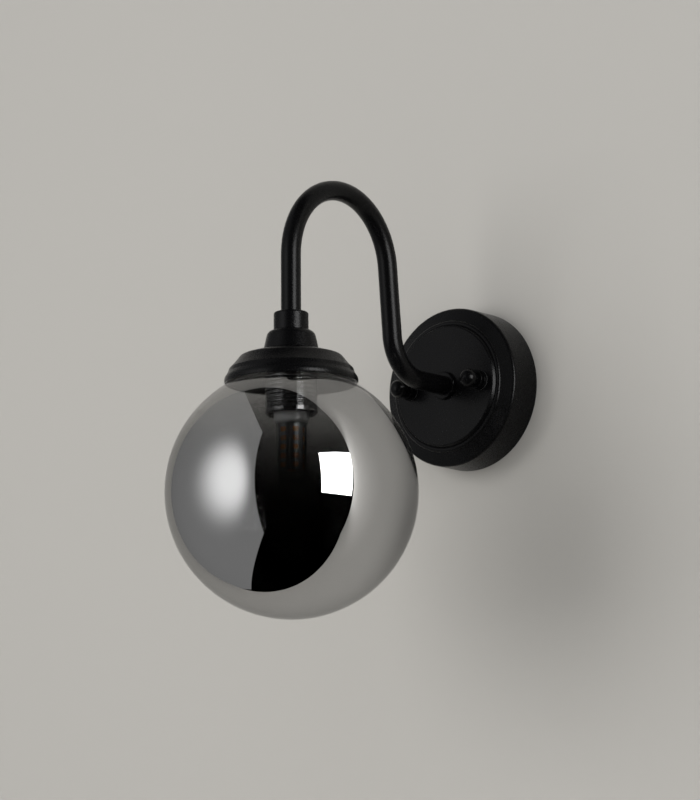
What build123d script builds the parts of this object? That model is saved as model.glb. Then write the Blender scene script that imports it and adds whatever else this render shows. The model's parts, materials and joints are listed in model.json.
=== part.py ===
from build123d import *
import os
from math import cos, pi, radians, sin, sqrt

# A globe wall sconce: a round wall plate, a swan-neck arm and a smoked glass
# globe that hangs from a threaded gallery. Millimetres, +Z up. The origin is
# on the wall at the plate's centre, the wall is the plane y = 0, and the
# sconce stands out of it towards -Y.

# ---------------------------------------------------------------- dimensions

# Wall plate (canopy): a stepped cup of pressed steel, open to the wall
canopy_diameter = 100.0
canopy_side_depth = 22.6
canopy_wall = 1.5
band_width = 8.3             # conical band inside the outer edge
band_rise = 3.2
bead_width = 3.0             # rounded bead at the band's inner edge
bead_rise = 1.2
bead_radius = 1.9
step_rise = 2.0              # steep step from the bead up to the face
step_run = 1.2
edge_round = 2.0
face_edge_round = 0.9

# Bracket behind the plate: a strip raised off the wall between two feet
bracket_thickness = 1.5
bracket_lift = 3.0           # gap behind the raised strip, for the stud heads
bracket_end_margin = 2.0     # metal beyond the outer end of each wall slot
foot_inner_margin = 0.5      # flat foot inside the inner end of each wall slot
riser_run = 2.0
bracket_bend_radius = 0.4
strip_half_height = 11.0
foot_half_height = 8.0
cable_hole_radius = 8.0
wall_slot_inset = 11.5       # plate's edge to the middle of a wall slot
wall_slot_length = 9.0
wall_slot_width = 4.8
tab_half_width = 16.5        # tab that carries the terminal block
tab_top = 32.0
tab_corner_round = 2.5

# Studs, lock nuts and ball-ended cap nuts
stud_spacing = 55.0
stud_diameter = 4.0
stud_length = 37.5           # wall-side end of the head to the tip
stud_head_diameter = 7.6
stud_head_height = 2.2
stud_tip_chamfer = 0.5
thread_clearance = 0.2
lock_nut_across_flats = 7.0
lock_nut_height = 2.4
nut_washer_diameter = 12.4
nut_washer_thickness = 0.6
nut_base_diameter = 12.4
nut_base_height = 2.0
nut_groove_diameter = 10.2
nut_groove_height = 0.9
nut_ring_diameter = 11.8
nut_ring_height = 2.3
nut_neck_diameter = 7.6
nut_neck_height = 1.0
nut_ball_diameter = 11.4
nut_edge_round = 0.35
nut_bore_end_wall = 4.0

# Swan-neck arm, bent from tube in the plane x = 0
arm_reach = 176.0            # wall to the globe's axis
arm_tube_diameter = 12.0
arm_tube_wall = 1.5
arm_crest_height = 106.0     # centreline at the crest, above the plate's centre
rising_bend_radius = 47.6
falling_bend_radius = 44.1
leg_lean = 5.3               # degrees, wall-side leg towards the wall
foot_bend_radius = 26.5
arm_end_height = 17.0        # cut end of the tube above the plate's centre
fit_clearance = 0.05         # between pieces that are screwed or pushed together

# Foot ferrule, nipple, toothed washer and nut that hold the arm in the plate
ferrule_diameter = 17.6
ferrule_thickness = 2.6
ferrule_round = 1.1
nipple_diameter = 10.0
nipple_wall = 1.2
nipple_engagement = 9.0      # screwed into each end of the tube
nipple_stick_out = 6.2       # beyond the plate's inner face
tooth_washer_diameter = 17.0
tooth_washer_thickness = 0.9
tooth_count = 12
tooth_gap_width = 1.3
tooth_gap_depth = 1.2
arm_nut_across_flats = 15.0
arm_nut_height = 3.6

# Coupler collar and gallery cap above the globe
coupler_diameter = 20.8
coupler_height = 11.2
coupler_floor = 4.6
coupler_edge_round = 1.3
cap_height = 32.0
cap_wall = 1.8
cap_neck_top_radius = 13.9
cap_neck_round = 4.2
cap_neck_base_radius = 16.5
cap_neck_height = 11.5
cap_shoulder_radius = 30.3   # corner between the sloping crown and the flared side
cap_shoulder_drop = 15.5
cap_shoulder_round = 3.4
cap_flare_radius = 60.0      # hollow side between the shoulder and the ridge
cap_ridge_radius = 37.0
cap_ridge_drop = 23.4
cap_ridge_round = 0.7
cap_cove_radius = 37.8       # corner under the ridge, at the top of the rim's flare
cap_cove_drop = 25.9
cap_bead_top_radius = 39.3   # bulging bead round the rim
cap_bead_height = 3.8
cap_bead_bulge_radius = 4.5
cap_rim_radius = 39.5

# Glass globe with a threaded neck drawn inwards
globe_diameter = 150.0
glass_wall = 2.0
globe_neck_bore_radius = 13.4
globe_neck_wall = 2.2
globe_neck_length = 26.8     # crown of the globe to the neck's inner end
globe_mouth_round = 0.8
cap_rim_gap = 1.4            # rim edge above the glass under it

# Rubber seal, threaded carrier and nuts inside the gallery
running_gap = 0.2            # between pieces that turn or slide on each other
seal_width = 4.4
seal_thickness = 1.8
carrier_thread_gap = 0.5
carrier_flange_radius = 19.0
carrier_flange_thickness = 2.0
carrier_thread_length = 22.0
gallery_nut_across_flats = 14.0
gallery_nut_height = 3.0

# Lamp holder (G9) and its plug-in lamp
holder_bush_diameter = 18.0
holder_bush_height = 3.0
holder_diameter = 20.4
holder_length = 25.4
holder_clearance = 0.6
holder_chamfer = 1.0
holder_recess_depth = 2.4
recess_clearance = 0.4
nipple_to_recess = 1.0       # nipple's lower end above the floor of the recess
wire_hole_depth = 5.0
wire_hole_clearance = 0.15
wire_end_gap = 0.5           # between a wire's end and the bottom of its hole
pin_spacing = 9.0
pin_slot_width = 2.4
pin_slot_breadth = 4.8
pin_slot_depth = 16.0
pin_thickness = 1.0
pin_breadth = 3.6
pin_length = 13.5
contact_thickness = 0.5
contact_breadth = 3.4
contact_length = 9.0
lamp_base_diameter = 20.8
lamp_base_height = 6.8
lamp_base_shoulder = 2.4
lamp_cover_diameter = 18.2
lamp_cover_wall = 0.8
lamp_cover_length = 35.5     # base to the tip of the dome
cover_seat_depth = 1.6
core_clearance = 0.35
core_end_margin = 8.4        # core's lower end above the tip of the cover
led_rows = 5
led_pitch = 5.3
led_first_drop = 3.6         # base to the middle of the first row
led_width = 3.2
led_height = 2.9
led_thickness = 0.7

# Terminal block, earth screw and wiring inside the plate
pole_count = 3
pole_pitch = 9.5
block_depth = 13.0
block_height = 17.0
block_bottom = 13.5
block_corner_round = 1.2
block_gap_width = 1.4        # saw-cut between two poles
block_gap_depth = 2.5
pole_bore_radius = 2.5
insert_bore_radius = 1.6
insert_margin = 1.5
clamp_screw_diameter = 3.4
clamp_screw_offset = 5.0
clamp_screw_sink = 1.0
clamp_slot_width = 0.6
clamp_slot_depth = 0.5
clamp_gap = 0.2              # screw's end above the wire under it
earth_x = 14.0
earth_z = -6.5
lug_radius = 4.0
lug_thickness = 0.8
lug_barrel_radius = 1.8
lug_barrel_length = 6.5
lug_neck_length = 3.0
lug_barrel_gap = 0.6         # barrel's lower end above the edge of the ring
lug_socket_depth = 4.5
earth_screw_diameter = 4.0
earth_screw_head_diameter = 7.4
earth_screw_head_height = 2.6
earth_screw_head_round = 0.8
earth_screw_stick_out = 1.5  # behind the bracket
earth_slot_width = 1.0
earth_slot_depth = 1.1
wire_diameter = 2.4
wire_pair_spacing = 3.5
wire_insertion = 4.5         # wire's end above the bottom of the terminal block
wire_bend_radius = 5.0
wire_turn_height = 6.0       # where live and neutral leave the block's front corner
wire_turn_reach = 6.0
earth_bend_radius = 3.4
earth_wire_gap = 1.0         # wire's end above the bottom of the lug's socket
earth_rise = 9.5             # ring's edge to where the earth wire bends off
earth_bend_drop = 3.0        # below the terminal block

# ------------------------------------------------------------ worked-out places

canopy_radius = canopy_diameter / 2
band_inner_radius = canopy_radius - band_width
bead_inner_radius = band_inner_radius - bead_width
face_radius = bead_inner_radius - step_run
bead_depth = canopy_side_depth + band_rise + bead_rise
canopy_depth = bead_depth + step_rise
canopy_inner_depth = canopy_depth - canopy_wall
bracket_front = bracket_lift + bracket_thickness
wall_slot_spacing = canopy_diameter - 2 * wall_slot_inset
wall_slot_inner_end = (wall_slot_spacing - wall_slot_length) / 2
wall_slot_outer_end = (wall_slot_spacing + wall_slot_length) / 2
foot_inner_x = wall_slot_inner_end - foot_inner_margin
bracket_half_length = wall_slot_outer_end + bracket_end_margin
stud_x = stud_spacing / 2
stud_back = bracket_lift - stud_head_height
nut_seat_depth = canopy_depth + nut_washer_thickness

arm_radius = arm_tube_diameter / 2
arm_bore_radius = arm_radius - arm_tube_wall
nipple_radius = nipple_diameter / 2
nipple_bore_radius = nipple_radius - nipple_wall
wire_radius = wire_diameter / 2

coupler_bottom = arm_end_height - coupler_floor
cap_top = coupler_bottom
cap_rim_z = cap_top - cap_height
globe_radius = globe_diameter / 2
globe_z = cap_rim_z - cap_rim_gap - sqrt(globe_radius**2 - cap_rim_radius**2)
glass_inner_radius = globe_radius - glass_wall
neck_outer_radius = globe_neck_bore_radius + globe_neck_wall
crown_z = globe_z + sqrt(globe_radius**2 - globe_neck_bore_radius**2)
neck_end_z = crown_z - globe_neck_length
seal_z = crown_z + running_gap
flange_z = seal_z + seal_thickness + running_gap
carrier_thread_radius = globe_neck_bore_radius - carrier_thread_gap
holder_radius = holder_diameter / 2
carrier_bore_radius = holder_radius + holder_clearance
holder_top = flange_z - holder_bush_height
holder_bottom = holder_top - holder_length
nipple_bottom = holder_top - holder_recess_depth + nipple_to_recess
lamp_top = holder_bottom - running_gap
lamp_base_bottom = lamp_top - lamp_base_height
cover_radius = lamp_cover_diameter / 2
cover_tip = lamp_base_bottom - lamp_cover_length
cover_bore_radius = cover_radius - lamp_cover_wall
core_radius = cover_bore_radius - core_clearance
core_bottom = cover_tip + core_end_margin

block_front = bracket_front + block_depth
pole_depth = bracket_front + block_depth / 2
block_half_width = pole_count * pole_pitch / 2
pole_positions = [(index - (pole_count - 1) / 2) * pole_pitch for index in range(pole_count)]
wire_offset = wire_pair_spacing / 2

# Planes: (radius, distance from the wall) for pieces that stand out of the
# wall, and (radius, height) for pieces turned about the globe's axis
depth_profile = Plane(origin=(0, 0, 0), x_dir=(1, 0, 0), z_dir=(0, 0, -1))
globe_profile = Plane(origin=(0, -arm_reach, 0), x_dir=(1, 0, 0), z_dir=(0, -1, 0))
globe_axis = Axis((0, -arm_reach, 0), (0, 0, 1))


def height_plane(height):
    """Level plane across the globe's axis."""
    return Plane(origin=(0, -arm_reach, height), x_dir=(1, 0, 0), z_dir=(0, 0, 1))


def round_corner(section, corner, corner_round):
    """Round the corner of a profile that lies nearest to a point."""
    fillet(section.vertices().sort_by_distance(corner)[0], corner_round)


os.makedirs("parts", exist_ok=True)

# ------------------------------------------------------------------- wall plate

with BuildPart() as canopy:
    with BuildSketch(depth_profile) as canopy_section:
        with BuildLine():
            side = Line((canopy_radius, 0), (canopy_radius, canopy_side_depth))
            band = Line(side @ 1, (band_inner_radius, canopy_side_depth + band_rise))
            bead = RadiusArc(band @ 1, (bead_inner_radius, bead_depth), -bead_radius)
            step = Line(bead @ 1, (face_radius, canopy_depth))
            Polyline(step @ 1, (0, canopy_depth), (0, 0), side @ 0)
        make_face()
        round_corner(canopy_section, side @ 1, edge_round)
        round_corner(canopy_section, step @ 1, face_edge_round)
    revolve(axis=Axis.Y)
    inner_radius = canopy_radius - canopy_wall
    inner_face_radius = face_radius - canopy_wall / 2
    with BuildSketch(depth_profile) as canopy_hollow:
        with BuildLine():
            Polyline(
                (0, 0),
                (inner_radius, 0),
                (inner_radius, canopy_side_depth - canopy_wall),
                (bead_inner_radius, canopy_side_depth + band_rise - canopy_wall),
                (inner_face_radius, canopy_inner_depth),
                (0, canopy_inner_depth),
                close=True,
            )
        make_face()
    revolve(axis=Axis.Y, mode=Mode.SUBTRACT)
    with BuildSketch(Plane.XZ.offset(canopy_inner_depth - 1)) as canopy_holes:
        Circle(nipple_radius + fit_clearance)
        with Locations((-stud_x, 0), (stud_x, 0)):
            Circle(stud_diameter / 2 + thread_clearance)
    extrude(amount=canopy_wall + 2, mode=Mode.SUBTRACT)
canopy.part.label = "canopy"
export_step(canopy.part, "parts/canopy.step")

# ------------------------------------------------------------ mounting bracket

with BuildPart() as mounting_bracket:
    with BuildSketch(Plane.XY) as bracket_section:
        with BuildLine():
            FilletPolyline(
                (-bracket_half_length, 0),
                (-foot_inner_x, 0),
                (-foot_inner_x + riser_run, -bracket_lift),
                (foot_inner_x - riser_run, -bracket_lift),
                (foot_inner_x, 0),
                (bracket_half_length, 0),
                radius=bracket_bend_radius,
            )
            offset(amount=bracket_thickness, side=Side.RIGHT)
        make_face()
    extrude(amount=strip_half_height, both=True)
    foot_trim = strip_half_height - foot_half_height
    with BuildSketch(Plane.XZ.offset(-1)) as bracket_trim:
        for side_x in (-1, 1):
            for side_z in (-1, 1):
                middle_x = side_x * (foot_inner_x + bracket_half_length + 1) / 2
                middle_z = side_z * (foot_half_height + foot_trim / 2 + 0.5)
                with Locations((middle_x, middle_z)):
                    Rectangle(bracket_half_length - foot_inner_x + 1, foot_trim + 1)
    extrude(amount=bracket_thickness + 2, mode=Mode.SUBTRACT)
    with BuildSketch(Plane.XZ.offset(bracket_lift)) as bracket_tab:
        with Locations((0, (tab_top + strip_half_height) / 2 - 1)):
            RectangleRounded(2 * tab_half_width, tab_top - strip_half_height + 2, tab_corner_round)
    extrude(amount=bracket_thickness)
    with BuildSketch(Plane.XZ.offset(-1)) as bracket_holes:
        Circle(cable_hole_radius)
        with Locations((-stud_x, 0), (stud_x, 0)):
            Circle(stud_diameter / 2 + fit_clearance)
        with Locations((earth_x, earth_z)):
            Circle(earth_screw_diameter / 2 + fit_clearance)
        with Locations((-wall_slot_spacing / 2, 0), (wall_slot_spacing / 2, 0)):
            SlotOverall(wall_slot_length, wall_slot_width)
    extrude(amount=bracket_front + 2, mode=Mode.SUBTRACT)
mounting_bracket.part.label = "mounting_bracket"
export_step(mounting_bracket.part, "parts/mounting_bracket.step")

# ------------------------------------------- studs, lock nuts and cap nuts

with BuildPart() as canopy_studs:
    for stud_place in (-stud_x, stud_x):
        with BuildSketch(Plane.XZ.offset(stud_back)):
            with Locations((stud_place, 0)):
                Circle(stud_head_diameter / 2)
        extrude(amount=stud_head_height)
        with BuildSketch(Plane.XZ.offset(bracket_lift)):
            with Locations((stud_place, 0)):
                Circle(stud_diameter / 2)
        extrude(amount=stud_length - stud_head_height)
    stud_tips = canopy_studs.edges().filter_by(GeomType.CIRCLE).group_by(Axis.Y)[0]
    chamfer(stud_tips, stud_tip_chamfer)
canopy_studs.part.label = "canopy_studs"
export_step(canopy_studs.part, "parts/canopy_studs.step")

with BuildPart() as stud_lock_nuts:
    with BuildSketch(Plane.XZ.offset(bracket_front)) as lock_nut_outline:
        with Locations((-stud_x, 0), (stud_x, 0)):
            RegularPolygon(lock_nut_across_flats / 2, 6, major_radius=False)
            Circle(stud_diameter / 2 + fit_clearance, mode=Mode.SUBTRACT)
    extrude(amount=lock_nut_height)
stud_lock_nuts.part.label = "stud_lock_nuts"
export_step(stud_lock_nuts.part, "parts/stud_lock_nuts.step")

base_end = nut_seat_depth + nut_base_height
groove_end = base_end + nut_groove_height
ring_end = groove_end + nut_ring_height
neck_end = ring_end + nut_neck_height
ball_radius = nut_ball_diameter / 2
ball_rise = sqrt(ball_radius**2 - (nut_neck_diameter / 2) ** 2)
ball_centre = neck_end + ball_rise
nut_bore_end = ball_centre + ball_radius - nut_bore_end_wall
for side_name, nut_x in (("left", -stud_x), ("right", stud_x)):
    nut_plane = Plane(origin=(nut_x, 0, 0), x_dir=(1, 0, 0), z_dir=(0, 0, -1))
    nut_axis = Axis((nut_x, 0, 0), (0, 1, 0))
    bore_radius = stud_diameter / 2 + thread_clearance

    with BuildPart() as nut_washer:
        with BuildSketch(Plane.XZ.offset(canopy_depth)) as washer_outline:
            with Locations((nut_x, 0)):
                Circle(nut_washer_diameter / 2)
                Circle(bore_radius, mode=Mode.SUBTRACT)
        extrude(amount=nut_washer_thickness)
    nut_washer.part.label = "nut_washer_" + side_name
    export_step(nut_washer.part, "parts/nut_washer_" + side_name + ".step")

    with BuildPart() as cap_nut:
        with BuildSketch(nut_plane) as nut_section:
            with BuildLine():
                turned_rings = Polyline(
                    (bore_radius, nut_bore_end),
                    (bore_radius, nut_seat_depth),
                    (nut_base_diameter / 2, nut_seat_depth),
                    (nut_base_diameter / 2, base_end),
                    (nut_groove_diameter / 2, base_end),
                    (nut_groove_diameter / 2, groove_end),
                    (nut_ring_diameter / 2, groove_end),
                    (nut_ring_diameter / 2, ring_end),
                    (nut_neck_diameter / 2, ring_end),
                    (nut_neck_diameter / 2, neck_end),
                )
                ball = ThreePointArc(
                    turned_rings @ 1,
                    (ball_radius, ball_centre),
                    (0, ball_centre + ball_radius),
                )
                Polyline(ball @ 1, (0, nut_bore_end), turned_rings @ 0)
            make_face()
            for ring_edge in (
                (nut_base_diameter / 2, base_end),
                (nut_ring_diameter / 2, groove_end),
                (nut_ring_diameter / 2, ring_end),
            ):
                round_corner(nut_section, ring_edge, nut_edge_round)
        revolve(axis=nut_axis)
    cap_nut.part.label = "cap_nut_" + side_name
    export_step(cap_nut.part, "parts/cap_nut_" + side_name + ".step")

# --------------------------------------------------------------- swan-neck arm

lean = radians(leg_lean)
rising_z = arm_crest_height - rising_bend_radius
falling_z = arm_crest_height - falling_bend_radius
leg_top = falling_z + falling_bend_radius * sin(lean)
leg_length = (leg_top - foot_bend_radius * (1 - sin(lean))) / cos(lean)


def arm_centreline(from_height, to_depth):
    """Centreline of the arm, from above the gallery to a distance from the wall."""
    Line((-arm_reach, from_height), (-arm_reach, rising_z))
    rising = JernArc((-arm_reach, rising_z), (0, 1), rising_bend_radius, -90)
    falling = JernArc(rising @ 1, rising % 1, falling_bend_radius, -90 + leg_lean)
    leg = Line(falling @ 1, falling @ 1 + leg_length * (falling % 1))
    foot = JernArc(leg @ 1, falling % 1, foot_bend_radius, 90 - leg_lean)
    Line(foot @ 1, (-to_depth, 0))


with BuildPart() as swan_neck_arm:
    with BuildLine(Plane.YZ) as arm_path:
        arm_centreline(arm_end_height, canopy_depth)
    with BuildSketch(height_plane(arm_end_height)) as tube_section:
        Circle(arm_radius)
        Circle(arm_bore_radius, mode=Mode.SUBTRACT)
    sweep()
    with BuildSketch(height_plane(arm_end_height)) as upper_socket:
        Circle(nipple_radius + fit_clearance)
    extrude(amount=nipple_engagement, mode=Mode.SUBTRACT)
    with BuildSketch(Plane.XZ.offset(canopy_depth)) as foot_socket:
        Circle(nipple_radius + fit_clearance)
    extrude(amount=nipple_engagement, mode=Mode.SUBTRACT)
swan_neck_arm.part.label = "swan_neck_arm"
export_step(swan_neck_arm.part, "parts/swan_neck_arm.step")

with BuildPart() as arm_ferrule:
    with BuildSketch(Plane.XZ.offset(canopy_depth)) as ferrule_outline:
        Circle(ferrule_diameter / 2)
    extrude(amount=ferrule_thickness)
    fillet(arm_ferrule.faces().sort_by(Axis.Y)[0].edges(), ferrule_round)
    with BuildSketch(Plane.XZ.offset(canopy_depth)) as ferrule_bore:
        Circle(arm_radius + fit_clearance)
    extrude(amount=ferrule_thickness, mode=Mode.SUBTRACT)
arm_ferrule.part.label = "arm_ferrule"
export_step(arm_ferrule.part, "parts/arm_ferrule.step")

with BuildPart() as arm_nipple:
    with BuildSketch(Plane.XZ.offset(canopy_inner_depth - nipple_stick_out)) as nipple_ring:
        Circle(nipple_radius)
        Circle(nipple_bore_radius, mode=Mode.SUBTRACT)
    extrude(amount=nipple_stick_out + canopy_wall + nipple_engagement)
arm_nipple.part.label = "arm_nipple"
export_step(arm_nipple.part, "parts/arm_nipple.step")

with BuildPart() as arm_lock_washer:
    with BuildSketch(Plane.XZ.offset(canopy_inner_depth - tooth_washer_thickness)):
        Circle(tooth_washer_diameter / 2)
        with PolarLocations(tooth_washer_diameter / 2, tooth_count):
            Rectangle(2 * tooth_gap_depth, tooth_gap_width, mode=Mode.SUBTRACT)
        Circle(nipple_radius + fit_clearance, mode=Mode.SUBTRACT)
    extrude(amount=tooth_washer_thickness)
arm_lock_washer.part.label = "arm_lock_washer"
export_step(arm_lock_washer.part, "parts/arm_lock_washer.step")

arm_nut_depth = canopy_inner_depth - tooth_washer_thickness - arm_nut_height
with BuildPart() as arm_lock_nut:
    with BuildSketch(Plane.XZ.offset(arm_nut_depth)):
        RegularPolygon(arm_nut_across_flats / 2, 6, major_radius=False)
        Circle(nipple_radius + fit_clearance, mode=Mode.SUBTRACT)
    extrude(amount=arm_nut_height)
arm_lock_nut.part.label = "arm_lock_nut"
export_step(arm_lock_nut.part, "parts/arm_lock_nut.step")

# ------------------------------------------------- coupler and gallery cap

with BuildPart() as coupler_collar:
    with BuildSketch(height_plane(coupler_bottom)) as coupler_outline:
        Circle(coupler_diameter / 2)
    extrude(amount=coupler_height)
    fillet(coupler_collar.faces().sort_by(Axis.Z)[-1].edges(), coupler_edge_round)
    with BuildSketch(height_plane(arm_end_height)) as tube_seat:
        Circle(arm_radius + fit_clearance)
    extrude(amount=coupler_height, mode=Mode.SUBTRACT)
    with BuildSketch(height_plane(coupler_bottom)) as coupler_hole:
        Circle(nipple_radius + fit_clearance)
    extrude(amount=coupler_floor, mode=Mode.SUBTRACT)
coupler_collar.part.label = "coupler_collar"
export_step(coupler_collar.part, "parts/coupler_collar.step")

with BuildPart() as gallery_cap:
    with BuildSketch(globe_profile) as cap_section:
        with BuildLine():
            neck_top = (cap_neck_top_radius, cap_top)
            neck_base = (cap_neck_base_radius, cap_top - cap_neck_height)
            shoulder = (cap_shoulder_radius, cap_top - cap_shoulder_drop)
            ridge = (cap_ridge_radius, cap_top - cap_ridge_drop)
            cove = (cap_cove_radius, cap_top - cap_cove_drop)
            bead_top = (cap_bead_top_radius, cap_rim_z + cap_bead_height)
            Polyline((nipple_radius + fit_clearance, cap_top), neck_top, neck_base, shoulder)
            RadiusArc(shoulder, ridge, -cap_flare_radius)
            Polyline(ridge, cove, bead_top)
            RadiusArc(bead_top, (cap_rim_radius, cap_rim_z), cap_bead_bulge_radius)
            offset(amount=cap_wall, side=Side.RIGHT)
        make_face()
        round_corner(cap_section, neck_top, cap_neck_round)
        round_corner(cap_section, shoulder, cap_shoulder_round)
        round_corner(cap_section, ridge, cap_ridge_round)
    revolve(axis=globe_axis)
gallery_cap.part.label = "gallery_cap"
export_step(gallery_cap.part, "parts/gallery_cap.step")

with BuildPart() as gallery_nipple:
    with BuildSketch(height_plane(nipple_bottom)) as gallery_nipple_ring:
        Circle(nipple_radius)
        Circle(nipple_bore_radius, mode=Mode.SUBTRACT)
    extrude(amount=arm_end_height + nipple_engagement - nipple_bottom)
gallery_nipple.part.label = "gallery_nipple"
export_step(gallery_nipple.part, "parts/gallery_nipple.step")

with BuildPart() as gallery_nuts:
    for nut_bottom in (cap_top - cap_wall - gallery_nut_height, flange_z + carrier_flange_thickness):
        with BuildSketch(height_plane(nut_bottom)):
            RegularPolygon(gallery_nut_across_flats / 2, 6, major_radius=False)
            Circle(nipple_radius + fit_clearance, mode=Mode.SUBTRACT)
        extrude(amount=gallery_nut_height)
gallery_nuts.part.label = "gallery_nuts"
export_step(gallery_nuts.part, "parts/gallery_nuts.step")

# ------------------------------------------------- carrier, seal and glass globe

with BuildPart() as shade_carrier:
    with BuildSketch(height_plane(flange_z)) as flange_outline:
        Circle(carrier_flange_radius)
        Circle(nipple_radius + fit_clearance, mode=Mode.SUBTRACT)
    extrude(amount=carrier_flange_thickness)
    with BuildSketch(height_plane(flange_z)) as thread_tube:
        Circle(carrier_thread_radius)
        Circle(carrier_bore_radius, mode=Mode.SUBTRACT)
    extrude(amount=-carrier_thread_length)
shade_carrier.part.label = "shade_carrier"
export_step(shade_carrier.part, "parts/shade_carrier.step")

with BuildPart() as shade_seal:
    with BuildSketch(height_plane(seal_z)) as seal_outline:
        Circle(globe_neck_bore_radius + seal_width)
        Circle(globe_neck_bore_radius, mode=Mode.SUBTRACT)
    extrude(amount=seal_thickness)
shade_seal.part.label = "shade_seal"
export_step(shade_seal.part, "parts/shade_seal.step")

with BuildPart() as glass_globe:
    with BuildSketch(globe_profile) as glass_section:
        with BuildLine():
            inner_crown_z = globe_z + sqrt(glass_inner_radius**2 - neck_outer_radius**2)
            outside = ThreePointArc(
                (0, globe_z - globe_radius),
                (globe_radius, globe_z),
                (globe_neck_bore_radius, crown_z),
            )
            neck = Polyline(
                outside @ 1,
                (globe_neck_bore_radius, neck_end_z),
                (neck_outer_radius, neck_end_z),
                (neck_outer_radius, inner_crown_z),
            )
            inside = ThreePointArc(
                neck @ 1,
                (glass_inner_radius, globe_z),
                (0, globe_z - glass_inner_radius),
            )
            Line(inside @ 1, outside @ 0)
        make_face()
    revolve(axis=globe_axis)
    mouth_edge = glass_globe.edges().filter_by(GeomType.CIRCLE).sort_by(Axis.Z)[-1]
    fillet(mouth_edge, globe_mouth_round)
glass_globe.part.label = "glass_globe"
export_step(glass_globe.part, "parts/glass_globe.step")

# ------------------------------------------------------------------ lamp holder

with BuildPart() as holder_bush:
    with BuildSketch(height_plane(holder_top)) as bush_outline:
        Circle(holder_bush_diameter / 2)
        Circle(nipple_radius + fit_clearance, mode=Mode.SUBTRACT)
    extrude(amount=holder_bush_height)
holder_bush.part.label = "holder_bush"
export_step(holder_bush.part, "parts/holder_bush.step")

pin_places = [(-pin_spacing / 2, 0), (pin_spacing / 2, 0)]
wire_places = [(-wire_offset, 0), (wire_offset, 0)]
with BuildPart() as lamp_holder:
    with BuildSketch(height_plane(holder_bottom)) as holder_outline:
        Circle(holder_radius)
    extrude(amount=holder_length)
    chamfer(lamp_holder.faces().sort_by(Axis.Z)[0].edges(), holder_chamfer)
    with BuildSketch(height_plane(holder_top - holder_recess_depth)) as holder_recess:
        Circle(nipple_radius + recess_clearance)
    extrude(amount=holder_recess_depth, mode=Mode.SUBTRACT)
    with BuildSketch(height_plane(holder_top - holder_recess_depth - wire_hole_depth)) as wire_holes:
        with Locations(*wire_places):
            Circle(wire_radius + wire_hole_clearance)
    extrude(amount=wire_hole_depth, mode=Mode.SUBTRACT)
    with BuildSketch(height_plane(holder_bottom)) as pin_slots:
        with Locations(*pin_places):
            Rectangle(pin_slot_width, pin_slot_breadth)
    extrude(amount=pin_slot_depth, mode=Mode.SUBTRACT)
lamp_holder.part.label = "lamp_holder"
export_step(lamp_holder.part, "parts/lamp_holder.step")

with BuildPart() as holder_contacts:
    contact_x = pin_spacing / 2 + pin_slot_width / 2 - contact_thickness / 2
    with BuildSketch(height_plane(holder_bottom + pin_slot_depth)) as contact_strips:
        with Locations((-contact_x, 0), (contact_x, 0)):
            Rectangle(contact_thickness, contact_breadth)
    extrude(amount=-contact_length)
holder_contacts.part.label = "holder_contacts"
export_step(holder_contacts.part, "parts/holder_contacts.step")

# ----------------------------------------------------------------- plug-in lamp

with BuildPart() as lamp_base:
    with BuildSketch(height_plane(lamp_base_bottom)) as base_outline:
        Circle(lamp_base_diameter / 2)
    extrude(amount=lamp_base_height)
    fillet(lamp_base.faces().sort_by(Axis.Z)[0].edges(), lamp_base_shoulder)
    with BuildSketch(height_plane(lamp_base_bottom)) as cover_seat:
        Circle(cover_radius + fit_clearance)
    extrude(amount=cover_seat_depth, mode=Mode.SUBTRACT)
lamp_base.part.label = "lamp_base"
export_step(lamp_base.part, "parts/lamp_base.step")

with BuildPart() as lamp_pins:
    for pin_x, _ in pin_places:
        pin_plane = Plane(
            origin=(pin_x - pin_thickness / 2, -arm_reach, lamp_top + pin_length / 2),
            x_dir=(0, 0, 1),
            z_dir=(1, 0, 0),
        )
        with BuildSketch(pin_plane) as pin_loop:
            SlotOverall(pin_length, pin_breadth)
            with Locations((-pin_length / 4, 0)):
                Rectangle(pin_length / 2, pin_breadth)
            SlotOverall(pin_length - 2 * pin_thickness, pin_breadth - 2 * pin_thickness, mode=Mode.SUBTRACT)
        extrude(amount=pin_thickness)
lamp_pins.part.label = "lamp_pins"
export_step(lamp_pins.part, "parts/lamp_pins.step")

cover_top = lamp_base_bottom + cover_seat_depth
dome_z = cover_tip + cover_radius
with BuildPart() as lamp_cover:
    with BuildSketch(globe_profile) as cover_section:
        with BuildLine():
            outer_dome = CenterArc((0, dome_z), cover_radius, -90, 90)
            wall = Polyline(
                outer_dome @ 1,
                (cover_radius, cover_top),
                (cover_bore_radius, cover_top),
                (cover_bore_radius, dome_z),
            )
            inner_dome = CenterArc((0, dome_z), cover_bore_radius, 0, -90)
            Line(inner_dome @ 1, outer_dome @ 0)
        make_face()
    revolve(axis=globe_axis)
lamp_cover.part.label = "lamp_cover"
export_step(lamp_cover.part, "parts/lamp_cover.step")

core_flat = core_radius * cos(pi / 6)
with BuildPart() as lamp_core:
    with BuildSketch(height_plane(core_bottom)) as core_outline:
        RegularPolygon(core_radius, 6)
    extrude(amount=cover_top - core_bottom)
lamp_core.part.label = "lamp_core"
export_step(lamp_core.part, "parts/lamp_core.step")

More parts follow.
